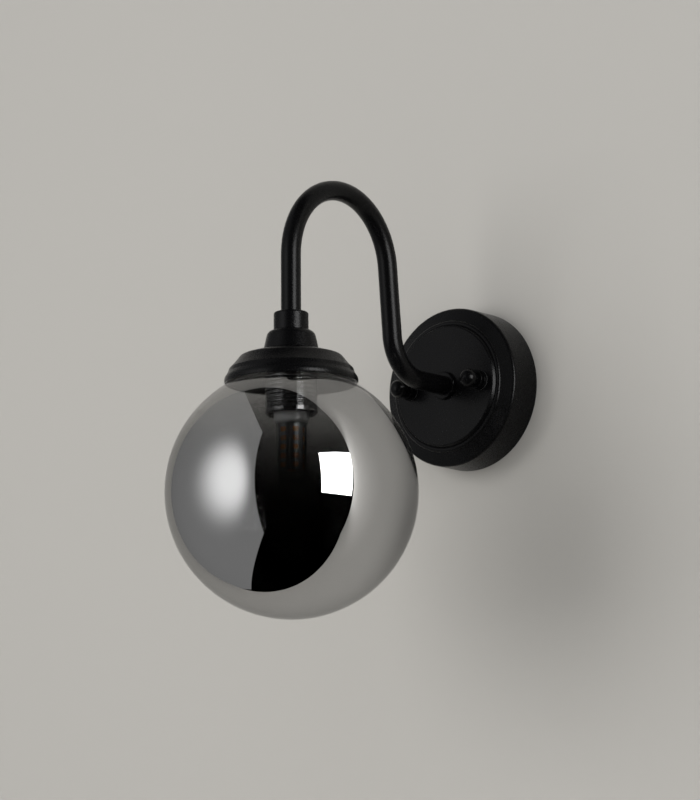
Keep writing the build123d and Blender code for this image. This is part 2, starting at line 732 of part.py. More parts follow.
with BuildPart() as lamp_leds:
    for face_index in range(6):
        face_angle = 30 + 60 * face_index
        outward = (cos(radians(face_angle)), sin(radians(face_angle)), 0)
        for row in range(led_rows):
            led_z = lamp_base_bottom - led_first_drop - row * led_pitch
            led_plane = Plane(
                origin=(core_flat * outward[0], core_flat * outward[1] - arm_reach, led_z),
                x_dir=(-outward[1], outward[0], 0),
                z_dir=outward,
            )
            with BuildSketch(led_plane) as led_chip:
                Rectangle(led_width, led_height)
            extrude(amount=led_thickness)
    with BuildSketch(height_plane(core_bottom)) as end_chip:
        Rectangle(led_width, led_height)
    extrude(amount=-led_thickness)
lamp_leds.part.label = "lamp_leds"
export_step(lamp_leds.part, "parts/lamp_leds.step")

# -------------------------------------------------------------- terminal block

block_middle = block_bottom + block_height / 2
clamp_heights = (block_middle - clamp_screw_offset, block_middle + clamp_screw_offset)
clamp_places = [(pole_x, clamp_z) for pole_x in pole_positions for clamp_z in clamp_heights]
pole_top_plane = Plane.XY.offset(block_bottom)
pole_places = [(pole_x, -pole_depth) for pole_x in pole_positions]

with BuildPart() as terminal_block:
    with BuildSketch(Plane.XZ.offset(bracket_front)) as block_outline:
        with Locations((0, block_middle)):
            RectangleRounded(2 * block_half_width, block_height, block_corner_round)
    extrude(amount=block_depth)
    for gap_index in range(1, pole_count):
        with BuildSketch(Plane.XZ.offset(block_front - block_gap_depth)):
            with Locations((-block_half_width + gap_index * pole_pitch, block_middle)):
                Rectangle(block_gap_width, block_height)
        extrude(amount=block_gap_depth, mode=Mode.SUBTRACT)
    with BuildSketch(pole_top_plane) as pole_bores:
        with Locations(*pole_places):
            Circle(pole_bore_radius + fit_clearance)
    extrude(amount=block_height, mode=Mode.SUBTRACT)
    with BuildSketch(Plane.XZ.offset(pole_depth)) as screw_wells:
        with Locations(*clamp_places):
            Circle(clamp_screw_diameter / 2 + fit_clearance)
    extrude(amount=block_depth, mode=Mode.SUBTRACT)
terminal_block.part.label = "terminal_block"
export_step(terminal_block.part, "parts/terminal_block.step")

with BuildPart() as terminal_inserts:
    with BuildSketch(pole_top_plane.offset(insert_margin)) as insert_rings:
        with Locations(*pole_places):
            Circle(pole_bore_radius)
            Circle(insert_bore_radius, mode=Mode.SUBTRACT)
    extrude(amount=block_height - 2 * insert_margin)
    with BuildSketch(Plane.XZ.offset(pole_depth)) as insert_threads:
        with Locations(*clamp_places):
            Circle(clamp_screw_diameter / 2 + fit_clearance)
    extrude(amount=block_depth, mode=Mode.SUBTRACT)
terminal_inserts.part.label = "terminal_inserts"
export_step(terminal_inserts.part, "parts/terminal_inserts.step")

clamp_start = pole_depth + wire_radius + clamp_gap
clamp_end = block_front - clamp_screw_sink
with BuildPart() as terminal_screws:
    with BuildSketch(Plane.XZ.offset(clamp_start)) as screw_shanks:
        with Locations(*clamp_places):
            Circle(clamp_screw_diameter / 2)
    extrude(amount=clamp_end - clamp_start)
    with BuildSketch(Plane.XZ.offset(clamp_end - clamp_slot_depth)) as driver_slots:
        with Locations(*clamp_places):
            Rectangle(clamp_screw_diameter + 1, clamp_slot_width)
    extrude(amount=clamp_slot_depth + 1, mode=Mode.SUBTRACT)
terminal_screws.part.label = "terminal_screws"
export_step(terminal_screws.part, "parts/terminal_screws.step")

# --------------------------------------------------------- earth lug and screw

with BuildPart() as earth_lug:
    with BuildSketch(Plane.XZ.offset(bracket_front)) as lug_outline:
        with Locations((earth_x, earth_z)):
            Circle(lug_radius)
        with Locations((earth_x, earth_z + lug_radius)):
            Rectangle(2 * lug_barrel_radius, lug_neck_length)
        with Locations((earth_x, earth_z)):
            Circle(earth_screw_diameter / 2 + fit_clearance, mode=Mode.SUBTRACT)
    extrude(amount=lug_thickness)
    barrel_depth = bracket_front + lug_barrel_radius
    barrel_plane = Plane.XY.offset(earth_z + lug_radius + lug_barrel_gap)
    with BuildSketch(barrel_plane) as lug_barrel:
        with Locations((earth_x, -barrel_depth)):
            Circle(lug_barrel_radius)
    extrude(amount=lug_barrel_length)
    with BuildSketch(barrel_plane.offset(lug_barrel_length)) as lug_socket:
        with Locations((earth_x, -barrel_depth)):
            Circle(wire_radius + fit_clearance)
    extrude(amount=-lug_socket_depth, mode=Mode.SUBTRACT)
earth_lug.part.label = "earth_lug"
export_step(earth_lug.part, "parts/earth_lug.step")

with BuildPart() as earth_screw:
    with BuildSketch(Plane.XZ.offset(bracket_lift - earth_screw_stick_out)) as screw_shank:
        with Locations((earth_x, earth_z)):
            Circle(earth_screw_diameter / 2)
    extrude(amount=earth_screw_stick_out + bracket_thickness + lug_thickness)
    with BuildSketch(Plane.XZ.offset(bracket_front + lug_thickness)) as screw_head:
        with Locations((earth_x, earth_z)):
            Circle(earth_screw_head_diameter / 2)
    extrude(amount=earth_screw_head_height)
    fillet(earth_screw.faces().sort_by(Axis.Y)[0].edges(), earth_screw_head_round)
    head_top = bracket_front + lug_thickness + earth_screw_head_height
    with BuildSketch(Plane.XZ.offset(head_top - earth_slot_depth)) as driver_slot:
        with Locations((earth_x, earth_z)):
            Rectangle(earth_screw_head_diameter + 1, earth_slot_width)
    extrude(amount=earth_slot_depth + 1, mode=Mode.SUBTRACT)
earth_screw.part.label = "earth_screw"
export_step(earth_screw.part, "parts/earth_screw.step")

# ---------------------------------------------------------------------- wiring

wire_start_z = block_bottom + wire_insertion
wire_end_z = holder_top - holder_recess_depth - wire_hole_depth + wire_end_gap
for wire_name, pole_x, wire_x in (
    ("live_wire", pole_positions[0], -wire_offset),
    ("neutral_wire", pole_positions[1], wire_offset),
):
    wire_plane = Plane(origin=(wire_x, 0, 0), x_dir=(0, 1, 0), z_dir=(1, 0, 0))
    turn_point = (wire_x, -pole_depth - wire_turn_reach, 0)
    with BuildPart() as wire:
        with BuildLine() as wire_path:
            FilletPolyline(
                (pole_x, -pole_depth, wire_start_z),
                (pole_x, -pole_depth, wire_turn_height),
                turn_point,
                (wire_x, -canopy_depth, 0),
                radius=wire_bend_radius,
            )
            with BuildLine(wire_plane):
                arm_centreline(wire_end_z, canopy_depth)
        with BuildSketch(Plane.XY.offset(wire_start_z)) as wire_section:
            with Locations((pole_x, -pole_depth)):
                Circle(wire_radius)
        sweep(path=wire_path.wires()[0])
    wire.part.label = wire_name
    export_step(wire.part, "parts/" + wire_name + ".step")

socket_floor_z = earth_z + lug_radius + lug_barrel_gap + lug_barrel_length - lug_socket_depth
earth_start_z = socket_floor_z + earth_wire_gap
with BuildPart() as earth_wire:
    with BuildLine() as earth_path:
        FilletPolyline(
            (earth_x, -barrel_depth, earth_start_z),
            (earth_x, -barrel_depth, earth_z + lug_radius + earth_rise),
            (pole_positions[2], -pole_depth, block_bottom - earth_bend_drop),
            (pole_positions[2], -pole_depth, wire_start_z),
            radius=earth_bend_radius,
        )
    with BuildSketch(Plane.XY.offset(earth_start_z)) as earth_section:
        with Locations((earth_x, -barrel_depth)):
            Circle(wire_radius)
    sweep(path=earth_path.wires()[0])
earth_wire.part.label = "earth_wire"
export_step(earth_wire.part, "parts/earth_wire.step")
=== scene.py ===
import bpy
import json
import math
import numpy as np
from mathutils import Matrix, Vector


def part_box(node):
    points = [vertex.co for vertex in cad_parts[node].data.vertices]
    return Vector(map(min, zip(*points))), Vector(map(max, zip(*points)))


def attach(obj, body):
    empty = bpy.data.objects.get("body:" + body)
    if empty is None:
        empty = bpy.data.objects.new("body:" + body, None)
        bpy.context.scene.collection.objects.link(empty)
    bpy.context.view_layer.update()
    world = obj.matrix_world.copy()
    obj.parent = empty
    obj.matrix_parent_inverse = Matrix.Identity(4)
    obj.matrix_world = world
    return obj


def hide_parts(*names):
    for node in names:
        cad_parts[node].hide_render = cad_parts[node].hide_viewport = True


# Globe wall sconce, dressed round its CAD frame. Metres, +Z up, the wall is the plane y = 0.

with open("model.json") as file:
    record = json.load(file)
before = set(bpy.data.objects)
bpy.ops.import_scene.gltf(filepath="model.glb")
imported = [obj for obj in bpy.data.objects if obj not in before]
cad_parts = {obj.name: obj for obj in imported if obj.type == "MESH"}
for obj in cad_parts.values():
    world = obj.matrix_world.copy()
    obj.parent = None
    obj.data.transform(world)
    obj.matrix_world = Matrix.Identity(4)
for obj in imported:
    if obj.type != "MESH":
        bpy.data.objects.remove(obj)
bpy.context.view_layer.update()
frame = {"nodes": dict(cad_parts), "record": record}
nodes = frame["nodes"]
scene = bpy.context.scene
scene.view_settings.view_transform = "Standard"

# ---- places read from the frame
globeLow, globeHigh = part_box("glass_globe")
globeRadius = (globeHigh[0] - globeLow[0]) / 2
globeY = (globeLow[1] + globeHigh[1]) / 2
globeZ = globeLow[2] + globeRadius
print("frame read: globe radius", round(globeRadius, 4), "centre height", round(globeZ, 4))


# ---- camera, at the photograph's angle
photoView = {
    "azimuth": 39.59,               # degrees, from straight in front towards +X
    "elevation": -10.52,
    "roll": -0.37,
    "distance": 2.3,
    "target": (-0.0261, -0.0900, -0.01421),
    "lens": 168.42,                 # millimetres on a 36 mm sensor, tall side
    "clipStart": 0.05,
}


def makeCamera(view):
    azimuth, elevation, roll = (math.radians(view[key]) for key in ("azimuth", "elevation", "roll"))
    back = Vector((math.sin(azimuth) * math.cos(elevation), -math.cos(azimuth) * math.cos(elevation),
                   math.sin(elevation)))
    levelRight = Vector((math.cos(azimuth), math.sin(azimuth), 0))
    levelUp = back.cross(levelRight)
    right = levelRight * math.cos(roll) + levelUp * math.sin(roll)
    up = back.cross(right)
    turn = Matrix((right, up, back)).transposed().to_4x4()
    lensData = bpy.data.cameras.new("photoCamera")
    lensData.lens = view["lens"]
    lensData.clip_start = view["clipStart"]
    camera = bpy.data.objects.new("photoCamera", lensData)
    camera.matrix_world = Matrix.Translation(Vector(view["target"]) + back * view["distance"]) @ turn
    scene.collection.objects.link(camera)
    scene.camera = camera


makeCamera(photoView)


# ---- small helpers for node materials
def newMaterial(name):
    material = bpy.data.materials.new(name)
    material.use_nodes = True
    tree = material.node_tree
    return material, tree, tree.nodes["Principled BSDF"]


def addNode(tree, kind, **settings):
    node = tree.nodes.new(kind)
    for key, value in settings.items():
        setattr(node, key, value)
    return node


def objectNoise(tree, scale, detail=2.0, stretch=(1, 1, 1)):
    coordinates = addNode(tree, "ShaderNodeTexCoord")
    mapping = addNode(tree, "ShaderNodeMapping")
    mapping.inputs["Scale"].default_value = stretch
    noise = addNode(tree, "ShaderNodeTexNoise")
    noise.inputs["Scale"].default_value = scale
    noise.inputs["Detail"].default_value = detail
    tree.links.new(coordinates.outputs["Object"], mapping.inputs["Vector"])
    tree.links.new(mapping.outputs["Vector"], noise.inputs["Vector"])
    return noise


noiseRange = (0.3, 0.7)      # between which most values of a noise texture lie


def spread(tree, source, low, high):
    ramp = addNode(tree, "ShaderNodeMapRange")
    ramp.inputs["From Min"].default_value = noiseRange[0]
    ramp.inputs["From Max"].default_value = noiseRange[1]
    ramp.inputs["To Min"].default_value = low
    ramp.inputs["To Max"].default_value = high
    tree.links.new(source, ramp.inputs["Value"])
    return ramp.outputs["Result"]


def blendColours(tree, source, first, second):
    mix = addNode(tree, "ShaderNodeMix", data_type="RGBA")
    mix.inputs["A"].default_value = (*first, 1)
    mix.inputs["B"].default_value = (*second, 1)
    tree.links.new(source, mix.inputs["Factor"])
    return mix.outputs["Result"]


def addBump(tree, shader, heights, distance, strength):
    bump = addNode(tree, "ShaderNodeBump")
    bump.inputs["Distance"].default_value = distance
    bump.inputs["Strength"].default_value = strength
    tree.links.new(heights, bump.inputs["Height"])
    tree.links.new(bump.outputs["Normal"], shader.inputs["Normal"])


# ---- finishes
# noise scale of the slow change in colour, by kind of finish
colourDrift = {"coat": 45.0, "metal": 120.0, "moulded": 90.0, "cover": 160.0}


def paintSurface(tree, shader, look, colourNoise, roughNoise):
    colour = blendColours(tree, colourNoise.outputs["Fac"], look["dark"], look["light"])
    roughness = spread(tree, roughNoise.outputs["Fac"], *look["roughness"])
    tree.links.new(colour, shader.inputs["Base Color"])
    tree.links.new(roughness, shader.inputs["Roughness"])


def powderCoat(name, look):
    material, tree, shader = newMaterial(name)
    shader.inputs["Specular IOR Level"].default_value = look["specular"]
    grain = objectNoise(tree, look["grainScale"], detail=3.0)
    drift = objectNoise(tree, colourDrift["coat"], detail=1.0)
    paintSurface(tree, shader, look, drift, grain)
    addBump(tree, shader, grain.outputs["Fac"], look["grainHeight"], look["grainStrength"])
    return material


blackCoat = {
    "dark": (0.0018, 0.0018, 0.0020), "light": (0.0034, 0.0034, 0.0037), "specular": 0.12,
    "roughness": (0.22, 0.32), "grainScale": 1500.0, "grainHeight": 0.00012, "grainStrength": 0.30,
}
castCoat = dict(blackCoat, grainScale=1100.0, grainHeight=0.0002, grainStrength=0.45)
turnedCoat = dict(blackCoat, roughness=(0.20, 0.28), grainStrength=0.15)


def plainMetal(name, look):
    material, tree, shader = newMaterial(name)
    shader.inputs["Metallic"].default_value = 1.0
    lay = objectNoise(tree, look["layScale"], stretch=look["stretch"])
    drift = objectNoise(tree, colourDrift["metal"])
    paintSurface(tree, shader, look, drift, lay)
    addBump(tree, shader, lay.outputs["Fac"], look["layHeight"], strength=0.3)
    return material


def bareInside(name, coat, look):
    # a spun cap: coated outside, bare metal on the faces that look towards a point on the axis below it
    material = powderCoat(name, coat)
    tree = material.node_tree
    shader = tree.nodes["Principled BSDF"]
    geometry = addNode(tree, "ShaderNodeNewGeometry")
    outward = addNode(tree, "ShaderNodeVectorMath", operation="SUBTRACT")
    outward.inputs[1].default_value = (0, globeY, look["innerHeight"])
    facing = addNode(tree, "ShaderNodeVectorMath", operation="DOT_PRODUCT")
    inside = addNode(tree, "ShaderNodeMath", operation="LESS_THAN")
    inside.inputs[1].default_value = 0.0
    coordinates = addNode(tree, "ShaderNodeTexCoord")
    tree.links.new(coordinates.outputs["Object"], outward.inputs[0])
    tree.links.new(outward.outputs["Vector"], facing.inputs[0])
    tree.links.new(geometry.outputs["True Normal"], facing.inputs[1])
    tree.links.new(facing.outputs["Value"], inside.inputs[0])
    coatColour = shader.inputs["Base Color"].links[0].from_socket
    mix = addNode(tree, "ShaderNodeMix", data_type="RGBA")
    mix.inputs["B"].default_value = (*look["bare"], 1)
    tree.links.new(inside.outputs["Value"], mix.inputs["Factor"])
    tree.links.new(coatColour, mix.inputs["A"])
    tree.links.new(mix.outputs["Result"], shader.inputs["Base Color"])
    return material


capInside = {"bare": (0.42, 0.42, 0.41), "innerHeight": -0.045}
zincLook = {"dark": (0.50, 0.51, 0.53), "light": (0.66, 0.66, 0.65), "roughness": (0.26, 0.42),
            "layScale": 900.0, "layHeight": 0.00003, "stretch": (1, 1, 1)}
brassLook = {"dark": (0.62, 0.44, 0.18), "light": (0.80, 0.62, 0.30), "roughness": (0.22, 0.36),
             "layScale": 1200.0, "layHeight": 0.00002, "stretch": (1, 1, 0.2)}
nickelLook = {"dark": (0.58, 0.56, 0.52), "light": (0.74, 0.73, 0.70), "roughness": (0.18, 0.30),
              "layScale": 1200.0, "layHeight": 0.00002, "stretch": (1, 1, 0.2)}
carrierLook = {"dark": (0.34, 0.33, 0.31), "light": (0.44, 0.43, 0.41), "roughness": (0.46, 0.58),
               "layScale": 900.0, "layHeight": 0.00002, "stretch": (0.2, 0.2, 1)}


def moulded(name, look):
    material, tree, shader = newMaterial(name)
    skin = objectNoise(tree, look["skinScale"])
    drift = objectNoise(tree, colourDrift["moulded"], detail=1.0)
    paintSurface(tree, shader, look, drift, skin)
    addBump(tree, shader, skin.outputs["Fac"], look["skinHeight"], strength=0.4)
    return material


nylonLook = {"dark": (0.020, 0.020, 0.020), "light": (0.035, 0.035, 0.035), "roughness": (0.45, 0.60),
             "skinScale": 1500.0, "skinHeight": 0.00003}
polyamideLook = {"dark": (0.74, 0.74, 0.71), "light": (0.84, 0.84, 0.82), "roughness": (0.40, 0.55),
                 "skinScale": 1400.0, "skinHeight": 0.00003}
siliconeLook = {"dark": (0.36, 0.36, 0.36), "light": (0.46, 0.46, 0.45), "roughness": (0.50, 0.65),
                "skinScale": 900.0, "skinHeight": 0.00004}
steatiteLook = {"dark": (0.74, 0.72, 0.67), "light": (0.86, 0.84, 0.80), "roughness": (0.55, 0.75),
                "skinScale": 2200.0, "skinHeight": 0.00005}
glazeLook = {"dark": (0.80, 0.80, 0.77), "light": (0.88, 0.88, 0.86), "roughness": (0.10, 0.20),
             "skinScale": 300.0, "skinHeight": 0.00002}
boardLook = {"dark": (0.40, 0.41, 0.40), "light": (0.52, 0.53, 0.52), "roughness": (0.40, 0.55),
             "skinScale": 1600.0, "skinHeight": 0.00002}
brownLook = {"dark": (0.13, 0.050, 0.020), "light": (0.20, 0.080, 0.035), "roughness": (0.32, 0.45),
             "skinScale": 900.0, "skinHeight": 0.00002}
blueLook = dict(brownLook, dark=(0.015, 0.060, 0.300), light=(0.030, 0.100, 0.420))
greenLook = dict(brownLook, dark=(0.060, 0.260, 0.040), light=(0.100, 0.360, 0.060))
phosphorLook = {"dark": (0.82, 0.24, 0.02), "light": (1.00, 0.38, 0.05), "roughness": (0.25, 0.40),
                "skinScale": 2500.0, "skinHeight": 0.00003}
coverLook = {"dark": (0.95, 0.96, 0.96), "light": (1, 1, 1), "roughness": (0.0, 0.03), "ior": 1.58}


def clearCover(name, look):
    material, tree, shader = newMaterial(name)
    shader.inputs["Transmission Weight"].default_value = 1.0
    shader.inputs["IOR"].default_value = look["ior"]
    ripple = objectNoise(tree, colourDrift["cover"], detail=1.0)
    paintSurface(tree, shader, look, ripple, ripple)
    return material


smokedLook = {
    "film": (0.49, 0.49, 0.49),        # colour of the mirror film
    "filmEdge": (0.62, 0.62, 0.62),    # and its tint towards the outline
    "roughness": 0.004,
    "clearLow": 0.055, "clearGrowth": 3.5, "clearMost": 0.50,    # light let through, equator to crown
    "bareGlass": (0.030, 0.028, 0.025), "bareCover": 0.10,       # the shell's inside, without the film
    "neckCover": 0.72, "neckFilm": 0.95,                         # the neck, which mirrors nearly as the film
}


def smokedGlass(name, look):
    # the film thins towards the crown; the alpha is the share of light that the glass doesn't let through
    material, tree, shader = newMaterial(name)
    shader.inputs["Roughness"].default_value = look["roughness"]
    coordinates = addNode(tree, "ShaderNodeTexCoord")
    split = addNode(tree, "ShaderNodeSeparateXYZ")
    tree.links.new(coordinates.outputs["Object"], split.inputs["Vector"])
    height = addNode(tree, "ShaderNodeMapRange", clamp=False)
    height.inputs["From Min"].default_value = globeZ
    height.inputs["From Max"].default_value = globeZ + globeRadius
    height.inputs["To Max"].default_value = look["clearGrowth"]
    growth = addNode(tree, "ShaderNodeMath", operation="EXPONENT")
    clear = addNode(tree, "ShaderNodeMath", operation="MULTIPLY")
    clear.inputs[1].default_value = look["clearLow"]
    most = addNode(tree, "ShaderNodeMath", operation="MINIMUM")
    most.inputs[1].default_value = look["clearMost"]
    cover = addNode(tree, "ShaderNodeMath", operation="SUBTRACT")
    cover.inputs[0].default_value = 1.0
    tree.links.new(split.outputs["Z"], height.inputs["Value"])
    tree.links.new(height.outputs["Result"], growth.inputs[0])
    tree.links.new(growth.outputs["Value"], clear.inputs[0])
    tree.links.new(clear.outputs["Value"], most.inputs[0])
    tree.links.new(most.outputs["Value"], cover.inputs[1])
    film = addNode(tree, "ShaderNodeAttribute", attribute_name="film")
    neck = addNode(tree, "ShaderNodeAttribute", attribute_name="neck")
    bare = addNode(tree, "ShaderNodeMapRange")
    bare.inputs["To Min"].default_value = look["bareCover"]
    bare.inputs["To Max"].default_value = look["neckCover"]
    share = addNode(tree, "ShaderNodeMix", data_type="FLOAT")
    tree.links.new(neck.outputs["Fac"], bare.inputs["Value"])
    tree.links.new(film.outputs["Fac"], share.inputs["Factor"])
    tree.links.new(bare.outputs["Result"], share.inputs["A"])
    tree.links.new(cover.outputs["Value"], share.inputs["B"])
    tree.links.new(share.outputs["Result"], shader.inputs["Alpha"])
    thin = addNode(tree, "ShaderNodeMath", operation="MULTIPLY_ADD", use_clamp=True)
    thin.inputs[1].default_value = look["neckFilm"]
    tree.links.new(neck.outputs["Fac"], thin.inputs[0])
    tree.links.new(film.outputs["Fac"], thin.inputs[2])
    tree.links.new(thin.outputs["Value"], shader.inputs["Metallic"])
    colour = blendColours(tree, thin.outputs["Value"], look["bareGlass"], look["film"])
    tint = blendColours(tree, film.outputs["Fac"], (1, 1, 1), look["filmEdge"])
    tree.links.new(colour, shader.inputs["Base Color"])
    tree.links.new(tint, shader.inputs["Specular Tint"])
    return material


finishes = {
    "black_steel": powderCoat("wallPlateCoat", blackCoat),
    "black_tube": powderCoat("armCoat", blackCoat),
    "black_casting": bareInside("galleryCoat", castCoat, capInside),
    "black_turned": powderCoat("turnedCoat", turnedCoat),
    "zinc_steel": plainMetal("zincPlate", zincLook),
    "brass_terminal": plainMetal("turnedBrass", brassLook),
    "nickel_contact": plainMetal("nickelPlate", nickelLook),
    "nylon": moulded("blackNylon", nylonLook),
    "white_polyamide": moulded("whitePolyamide", polyamideLook),
    "live_insulation": moulded("brownInsulation", brownLook),
    "neutral_insulation": moulded("blueInsulation", blueLook),
    "earth_insulation": moulded("greenInsulation", greenLook),
    "silicone": moulded("greySilicone", siliconeLook),
    "carrier_aluminium": plainMetal("turnedAluminium", carrierLook),
    "smoked_glass": smokedGlass("smokedMirrorGlass", smokedLook),
    "steatite": moulded("steatite", steatiteLook),
    "lamp_ceramic": moulded("lampGlaze", glazeLook),
    "clear_cover": clearCover("lampCoverGlass", coverLook),
    "lamp_board": moulded("lampBoard", boardLook),
    "led_phosphor": moulded("ledPhosphor", phosphorLook),
}
print("finishes made:", len(finishes))

slotOf = {entry["node"]: entry["material_slot"] for entry in frame["record"]["subparts"]}
for nodeName, cadObject in nodes.items():
    for materialSlot in cadObject.material_slots:
        materialSlot.material = finishes[slotOf[nodeName]]


# ---- mesh helpers
def meshObject(name, vertices, faces, material, smooth=True):
    mesh = bpy.data.meshes.new(name)
    mesh.from_pydata(vertices, [], faces)
    mesh.validate()
    mesh.materials.append(material)
    mesh.polygons.foreach_set("use_smooth", [smooth] * len(mesh.polygons))
    result = bpy.data.objects.new(name, mesh)
    scene.collection.objects.link(result)
    return result


def arcPoints(centre, radius, startAngle, endAngle, steps):
    angles = np.linspace(startAngle, endAngle, steps + 1)
    return [(centre[0] + radius * math.cos(a), centre[1] + radius * math.sin(a)) for a in angles]


def turnedFaces(rows, around):
    faces = []
    for row in range(rows - 1):
        for step in range(around):
            ahead = (step + 1) % around
            faces.append((row * around + step, row * around + ahead,
                          (row + 1) * around + ahead, (row + 1) * around + step))
    return faces


# ---- glass globe, one shell turned about the globe's axis, with a moulded thread in its neck
globeLook = {
    "wall": 0.0020,
    "boreRadius": 0.0134, "neckWall": 0.0022, "neckLength": 0.0268,
    "lipRound": 0.0008, "lipEdge": (0.0003, 0.0001),      # where the crown turns down into the neck
    "rimRise": 0.0006, "rimSteps": 8,                     # the neck's rounded inner end
    "rowGap": 0.0002, "rootGap": 0.0003,                  # left free at both ends of the neck's outer wall
    "neckReach": (0.0003, 0.002),                         # how far past itself the neck's look goes
    "threadLead": 0.0025, "threadDepth": 0.00040, "threadTop": 0.0040, "threadBottom": 0.0020,
    "threadFade": 0.002, "threadSharpness": 0.8,
    "around": 144, "profileSteps": 110, "neckSteps": 160,
}


def makeGlobe(look):
    around = look["around"]
    outer, inner = globeRadius, globeRadius - look["wall"]
    bore, neck = look["boreRadius"], look["boreRadius"] + look["neckWall"]
    crown = math.sqrt(outer ** 2 - bore ** 2)
    innerCrown = math.sqrt(inner ** 2 - neck ** 2)
    neckEnd = crown - look["neckLength"]
    steps = look["profileSteps"]
    outside = arcPoints((0, 0), outer, -math.pi / 2, math.atan2(crown, bore), steps)[1:]
    rimHeight = neckEnd + look["rimRise"]
    boreRows = [(bore, z) for z in np.linspace(crown - look["lipRound"], rimHeight, look["neckSteps"])]
    rimCentre = ((bore + neck) / 2, rimHeight)
    endRim = arcPoints(rimCentre, (neck - bore) / 2, math.pi, 2 * math.pi, look["rimSteps"])
    neckFrom = rimHeight + look["rowGap"]
    neckTo = innerCrown - look["rootGap"]
    neckRows = [(neck, z) for z in np.linspace(neckFrom, neckTo, look["neckSteps"])]
    inside = arcPoints((0, 0), inner, math.atan2(innerCrown, neck), -math.pi / 2, steps)[:-1]
    lip = (bore + look["lipEdge"][0], crown - look["lipEdge"][1])
    profile = outside[:-1] + [lip] + boreRows + endRim[1:-1] + neckRows + inside
    filmRows = len(outside)
    vertices = []
    threadHigh = crown - look["threadTop"]
    threadLow = neckEnd + look["threadBottom"]
    for radius, height in profile:
        for step in range(around):
            share = step / around
            offset = 0.0
            if radius < neck + look["rowGap"] and threadLow < height < threadHigh:
                fromEnd = min(threadHigh - height, height - threadLow)
                fade = min(1.0, fromEnd / look["threadFade"])
                wave = 0.5 - 0.5 * math.cos(2 * math.pi * (height / look["threadLead"] - share))
                offset = -look["threadDepth"] * fade * wave ** look["threadSharpness"]
            angle = 2 * math.pi * share
            reach = radius + offset
            vertices.append((reach * math.cos(angle), globeY + reach * math.sin(angle), globeZ + height))
    faces = turnedFaces(len(profile), around)
    bottomOut = len(vertices)
    vertices.append((0, globeY, globeZ - outer))
    bottomIn = len(vertices)
    vertices.append((0, globeY, globeZ - inner))
    last = (len(profile) - 1) * around
    for step in range(around):
        ahead = (step + 1) % around
        faces.append((bottomOut, ahead, step))
        faces.append((last + step, last + ahead, bottomIn))
    globe = meshObject("globeGlass", vertices, faces, finishes["smoked_glass"])
    film = globe.data.attributes.new("film", "FLOAT", "POINT")
    values = np.zeros(len(vertices))
    values[: filmRows * around] = 1.0
    values[bottomOut] = 1.0
    film.data.foreach_set("value", values)
    neckShare = globe.data.attributes.new("neck", "FLOAT", "POINT")
    widest = neck + look["neckReach"][0]
    lowest = neckEnd - look["neckReach"][1]
    rows = np.array([radius < widest and height > lowest for radius, height in profile], dtype=float)
    rows[: filmRows] = 0.0
    values = np.zeros(len(vertices))
    values[: len(profile) * around] = np.repeat(rows, around)
    neckShare.data.foreach_set("value", values)
    return globe


globeGlass = makeGlobe(globeLook)
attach(globeGlass, "globe")
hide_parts("glass_globe")
print("globe made:", len(globeGlass.data.polygons), "faces")


# ---- screw threads, cut by one geometry tree on turned cores
threadShape = {
    "pointsPerTurn": 40.0,
    "runsPerTurn": 2.0,       # the ridge comes up to its height in half a turn
    "sides": 4,
}


